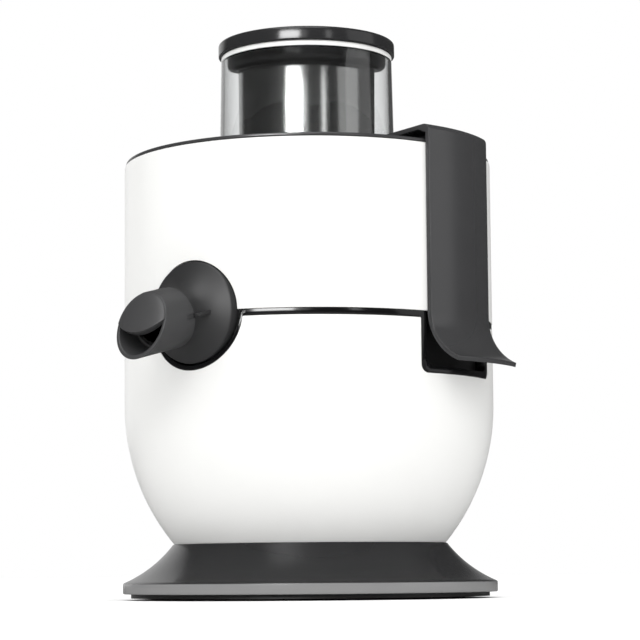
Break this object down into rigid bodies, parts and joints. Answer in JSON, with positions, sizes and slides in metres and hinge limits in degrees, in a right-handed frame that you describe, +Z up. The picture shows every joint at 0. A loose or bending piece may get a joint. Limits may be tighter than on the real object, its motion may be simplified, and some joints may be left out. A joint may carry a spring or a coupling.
{
  "type": "centrifugal juicer",
  "caption": "Upright kitchen juicer: round tapered housing, wide clear feed chute with a cylindrical pusher, side clamps and a turning drip-stop spout.",
  "frame": {"origin": "on the vertical axis at table height, under the middle of the base", "axes": "+Z up, the spout points to -Y, the two clamps sit at +X and -X"},
  "size_m": [0.2432, 0.251, 0.3104],
  "materials": {
    "white_abs": "moulded, satin gloss",
    "grey_abs": "moulded, fine texture",
    "black_abs": "moulded, satin",
    "gloss_trim": "gloss black",
    "clear_san": "clear, polished",
    "smoked_san": "translucent, smoked",
    "brushed_sleeve": "brushed along the axis",
    "stainless": "bright",
    "titanium": "titanium coated",
    "screw_steel": "zinc plated",
    "white_silicone": "soft, matt",
    "black_rubber": "soft, matt",
    "lamination": "stamped electrical steel",
    "enamelled_copper": "wound wire",
    "bracket": "die cast",
    "carbon": "pressed carbon",
    "brass": "stamped",
    "nylon": "glass-filled nylon",
    "switch_body": "moulded",
    "circuit_board": "coated glass-fibre board"
  },
  "bodies": {
    "housing": {"lower_shell": "white_abs", "upper_shell": "white_abs", "base_skirt": "grey_abs", "spout_bell": "grey_abs", "base_plate": "black_abs", "recess_liner_right": "black_abs", "recess_liner_left": "black_abs", "motor_deck": "black_abs", "knob_bezel": "black_abs", "seam_trim": "gloss_trim", "juice_collector": "smoked_san", "pulp_container": "smoked_san", "lower_bearing": "stainless", "upper_bearing": "stainless", "base_screws": "screw_steel", "shell_screws": "screw_steel", "deck_screws": "screw_steel", "mount_screws": "screw_steel", "motor_bolts": "screw_steel", "interlock_spring": "screw_steel", "rubber_feet": "black_rubber", "shaft_seal": "black_rubber", "spout_oring": "black_rubber", "motor_mounts": "black_rubber", "cord_gland": "black_rubber", "motor_stator": "lamination", "field_coils": "enamelled_copper", "lower_bracket": "bracket", "upper_bracket": "bracket", "carbon_brushes": "carbon", "brush_holders": "brass", "speed_switch": "switch_body", "interlock_switch": "switch_body", "control_board": "circuit_board"},
    "spinner": {"motor_shaft": "stainless", "armature_core": "lamination", "armature_winding": "enamelled_copper", "commutator": "enamelled_copper", "cooling_fan": "nylon", "drive_coupling": "nylon", "basket_hub": "nylon", "grating_disc": "titanium", "filter_basket": "stainless", "basket_rim": "black_abs"},
    "nozzle": {"spout_nozzle": "grey_abs"},
    "lid": {"lid_plate": "grey_abs", "lid_gasket": "black_rubber", "feed_chute": "clear_san", "chute_rim_seal": "white_silicone", "hinge_pin_right": "stainless", "hinge_pin_left": "stainless"},
    "clamp_right": {"clamp_arm_right": "grey_abs"},
    "clamp_left": {"clamp_arm_left": "grey_abs"},
    "pusher": {"pusher_cap": "black_abs", "pusher_collar": "black_abs", "pusher_sleeve": "brushed_sleeve", "pusher_foot": "black_abs"},
    "knob": {"speed_knob": "grey_abs"},
    "plunger": {"interlock_plunger": "nylon"}
  },
  "joints": [
    {"name": "basket_spin", "type": "hinge", "parent": "housing", "child": "spinner", "pos_m": [0, 0, 0.16], "axis": [0, 0, 1], "continuous": true},
    {"name": "spout_turn", "type": "hinge", "parent": "housing", "child": "nozzle", "pos_m": [0, -0.12646, 0.14395], "axis": [0, -0.9703, -0.2419], "range_deg": [0, 180]},
    {"name": "lid_lift", "type": "slide", "parent": "housing", "child": "lid", "axis": [0, 0, 1], "range_m": [0, 0.15]},
    {"name": "clamp_right_open", "type": "hinge", "parent": "lid", "child": "clamp_right", "pos_m": [0.06, 0, 0.2454], "axis": [0, -1, 0], "range_deg": [0, 95]},
    {"name": "clamp_left_open", "type": "hinge", "parent": "lid", "child": "clamp_left", "pos_m": [-0.06, 0, 0.2454], "axis": [0, 1, 0], "range_deg": [0, 95]},
    {"name": "pusher_slide", "type": "slide", "parent": "lid", "child": "pusher", "axis": [0, 0, 1], "range_m": [0, 0.13]},
    {"name": "speed_turn", "type": "hinge", "parent": "housing", "child": "knob", "pos_m": [-0.1, 0, 0.082], "axis": [-1, 0, 0], "range_deg": [0, 90]},
    {"name": "interlock_press", "type": "slide", "parent": "housing", "child": "plunger", "axis": [1, 0, 0], "range_m": [0, 0.002]}
  ],
  "couplings": [
    {"joint": "interlock_press", "follows": "clamp_right_open", "m_per_rad": 0.001205}
  ]
}
